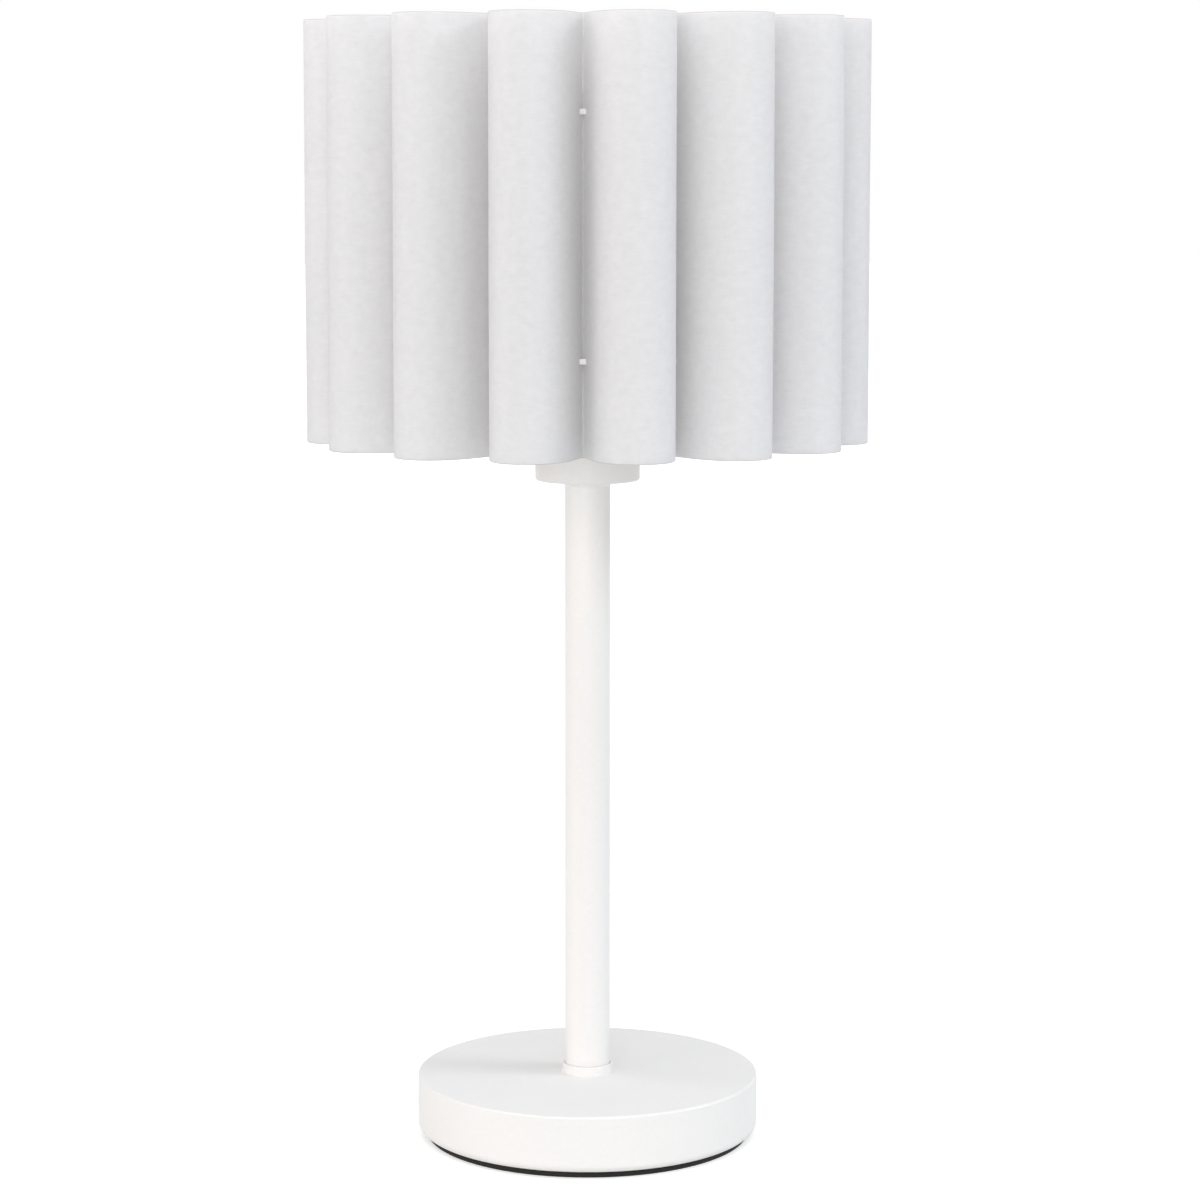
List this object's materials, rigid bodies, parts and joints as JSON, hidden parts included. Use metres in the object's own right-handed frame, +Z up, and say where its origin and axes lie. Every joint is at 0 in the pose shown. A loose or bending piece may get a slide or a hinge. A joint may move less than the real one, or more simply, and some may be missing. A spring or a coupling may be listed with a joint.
{
  "type": "table lamp",
  "caption": "Table lamp: weighted round base, slim pole, screw lampholder in a cup, and an open cloth drum shade of deep rounded lobes tied to a wire frame.",
  "frame": {"origin": "on the pole's axis at the table top, under the middle of the base pad", "axes": "+Z up along the pole, -Y towards the front, where the pictured valley of the shade is, +Y towards the cord inlet in the back of the base"},
  "size_m": [0.2487, 0.248, 0.5023],
  "materials": {
    "white_powder_coat": "satin powder coat, very fine orange peel",
    "shade_cloth": "fine brushed cloth on a stiff film",
    "white_wire": "white dipped steel wire",
    "white_nylon": "matt nylon",
    "black_foam": "closed-cell foam",
    "cast_iron": "as cast",
    "zinc_steel": "zinc plated",
    "brass": "turned",
    "nickel_brass": "nickel plated, satin",
    "white_thermoplastic": "moulded, fine texture",
    "steatite": "pressed and fired, unglazed",
    "brown_pvc": "extruded",
    "blue_pvc": "extruded",
    "green_yellow_pvc": "extruded",
    "opal_polycarbonate": "opal, satin",
    "black_glass": "fused insulator",
    "circuit_board": "white solder mask on aluminium"
  },
  "bodies": {
    "stand": {"base_shell": "white_powder_coat", "base_weight": "cast_iron", "base_plate": "zinc_steel", "plate_screws": "zinc_steel", "base_pad": "black_foam", "cord_inlet_bush": "white_nylon", "terminal_block": "white_nylon", "terminal_sleeves": "brass", "terminal_screws": "zinc_steel", "terminal_block_screw": "zinc_steel", "earth_tag": "zinc_steel", "earth_screw": "zinc_steel", "lead_earth": "green_yellow_pvc", "lead_live": "brown_pvc", "lead_neutral": "blue_pvc", "clamp_nipple": "zinc_steel", "clamp_washer": "zinc_steel", "clamp_nut": "zinc_steel", "foot_plug": "zinc_steel", "foot_collar": "white_powder_coat", "pole_tube": "white_powder_coat", "head_plug": "zinc_steel", "neck_collar": "white_powder_coat", "head_nipple": "zinc_steel", "cup_washer": "zinc_steel", "cup_nut": "zinc_steel", "socket_cup": "white_powder_coat", "holder_cap": "white_thermoplastic", "holder_insert": "steatite", "holder_skirt": "white_thermoplastic", "screw_shell": "nickel_brass", "centre_contact": "brass", "contact_rivets": "brass", "holder_terminals": "brass", "holder_terminal_screws": "zinc_steel"},
    "retaining_ring": {"retaining_ring": "white_thermoplastic"},
    "shade": {"shade_fabric": "shade_cloth", "shade_uprights": "white_wire", "ring_lower": "white_wire", "ring_upper": "white_wire", "spider_arms": "white_wire", "fitter_ring": "white_wire", "ties_lower": "white_nylon", "ties_upper": "white_nylon"},
    "bulb_lift": {"bulb_tip_contact": "nickel_brass"},
    "bulb": {"bulb_tip_insulator": "black_glass", "bulb_cap": "nickel_brass", "bulb_housing": "white_thermoplastic", "bulb_led_board": "circuit_board", "bulb_globe": "opal_polycarbonate"}
  },
  "joints": [
    {"name": "shade_turn", "type": "hinge", "parent": "stand", "child": "shade", "pos_m": [0, 0, 0.3466], "axis": [0, 0, 1], "continuous": true},
    {"name": "retaining_ring_turn", "type": "hinge", "parent": "stand", "child": "retaining_ring", "pos_m": [0, 0, 0.3511], "axis": [0, 0, 1], "range_deg": [0, 1980]},
    {"name": "bulb_rise", "type": "slide", "parent": "stand", "child": "bulb_lift", "axis": [0, 0, 1], "range_m": [0, 0.02]},
    {"name": "bulb_turn", "type": "hinge", "parent": "bulb_lift", "child": "bulb", "pos_m": [0, 0, 0.345], "axis": [0, 0, 1], "range_deg": [0, 1980]}
  ],
  "couplings": [
    {"joint": "bulb_rise", "follows": "bulb_turn", "m_per_rad": 0.00057757}
  ]
}
